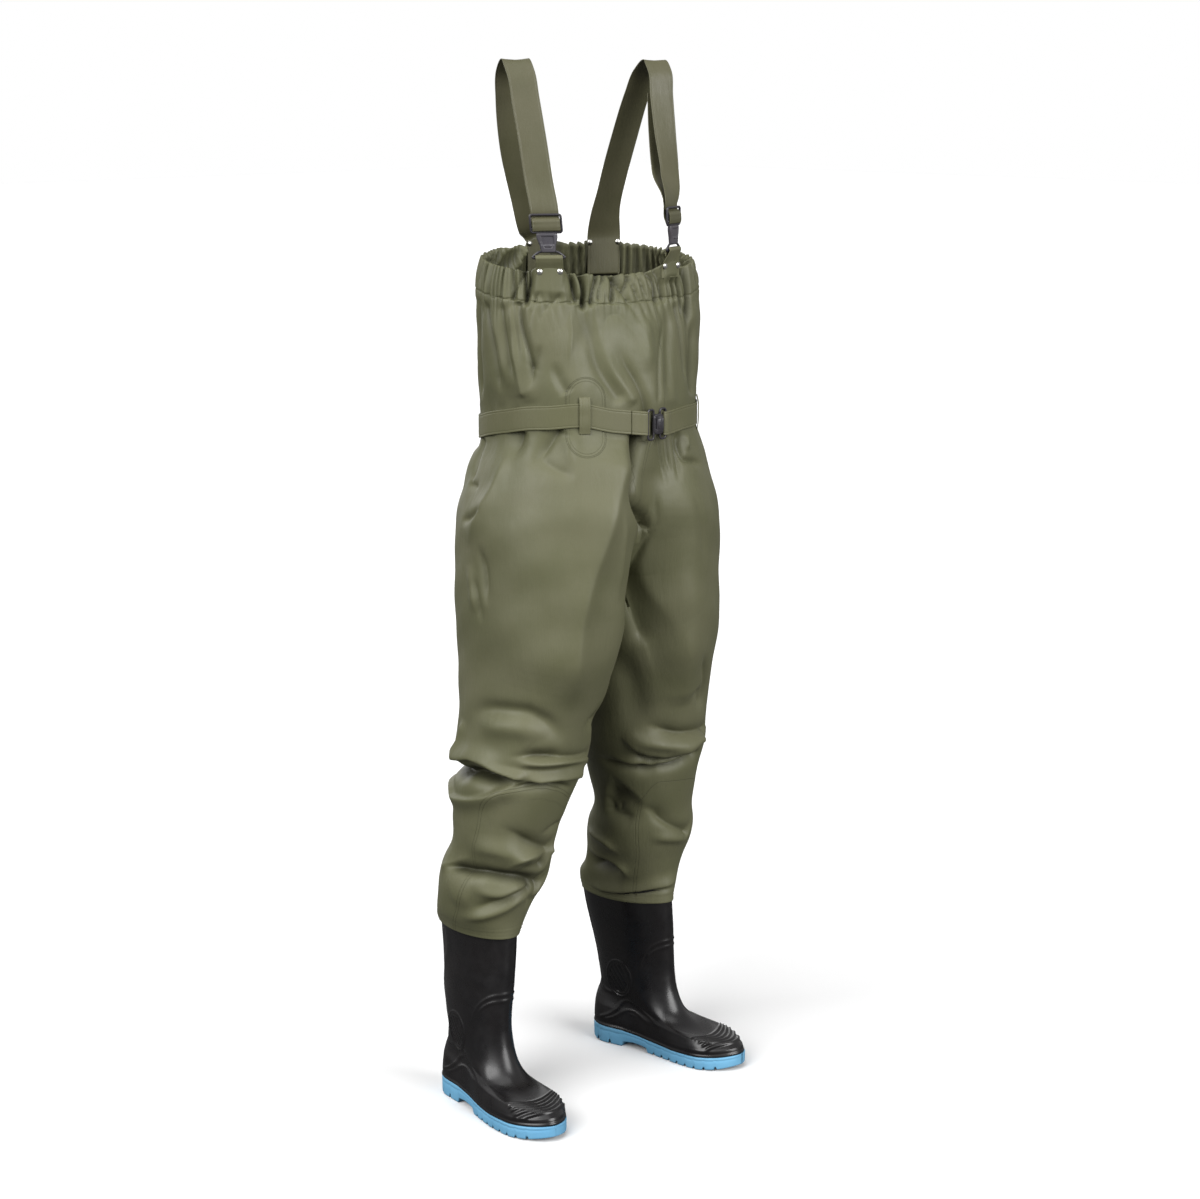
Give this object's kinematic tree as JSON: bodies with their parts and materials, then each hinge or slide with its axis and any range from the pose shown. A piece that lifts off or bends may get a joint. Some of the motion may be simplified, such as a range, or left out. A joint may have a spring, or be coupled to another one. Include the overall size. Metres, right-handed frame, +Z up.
{
  "type": "chest_wader",
  "caption": "Olive green coated-fabric safety chest wader with elastic bib hem, shoulder straps, waist belt and welded-on black safety boots with light blue soles",
  "frame": {"origin": "middle of the footprint box on the floor", "axes": "+Z up along the wader's height, -Y to the front of the wearer, -X to the wearer's right"},
  "size_m": [0.5322, 0.352, 1.7219],
  "materials": {
    "coated_green": "satin",
    "strap_green": "satin",
    "boot_black": "satin",
    "sole_blue": "matte",
    "insole_grey": "matte",
    "buckle_black": "matte",
    "rivet_steel": "satin"
  },
  "bodies": {
    "root": {"trousers": "coated_green", "boot_right_upper": "boot_black", "boot_left_upper": "boot_black", "boot_right_outsole": "sole_blue", "boot_left_outsole": "sole_blue", "boot_right_insole": "insole_grey", "boot_left_insole": "insole_grey", "belt": "strap_green", "belt_loop_right": "strap_green", "belt_loop_left": "strap_green", "belt_buckle_right": "buckle_black", "belt_buckle_body": "buckle_black", "belt_buckle_left": "buckle_black", "strap_right": "strap_green", "strap_left": "strap_green", "strap_tab_right": "strap_green", "strap_tab_left": "strap_green", "buckle_right_loop": "buckle_black", "buckle_right_latch": "buckle_black", "buckle_right_adjuster": "buckle_black", "buckle_left_loop": "buckle_black", "buckle_left_latch": "buckle_black", "buckle_left_adjuster": "buckle_black", "rivet_right_front_a": "rivet_steel", "rivet_right_front_b": "rivet_steel", "rivet_right_back_a": "rivet_steel", "rivet_right_back_b": "rivet_steel", "rivet_left_front_a": "rivet_steel", "rivet_left_front_b": "rivet_steel", "rivet_left_back_a": "rivet_steel", "rivet_left_back_b": "rivet_steel"}
  },
  "joints": []
}
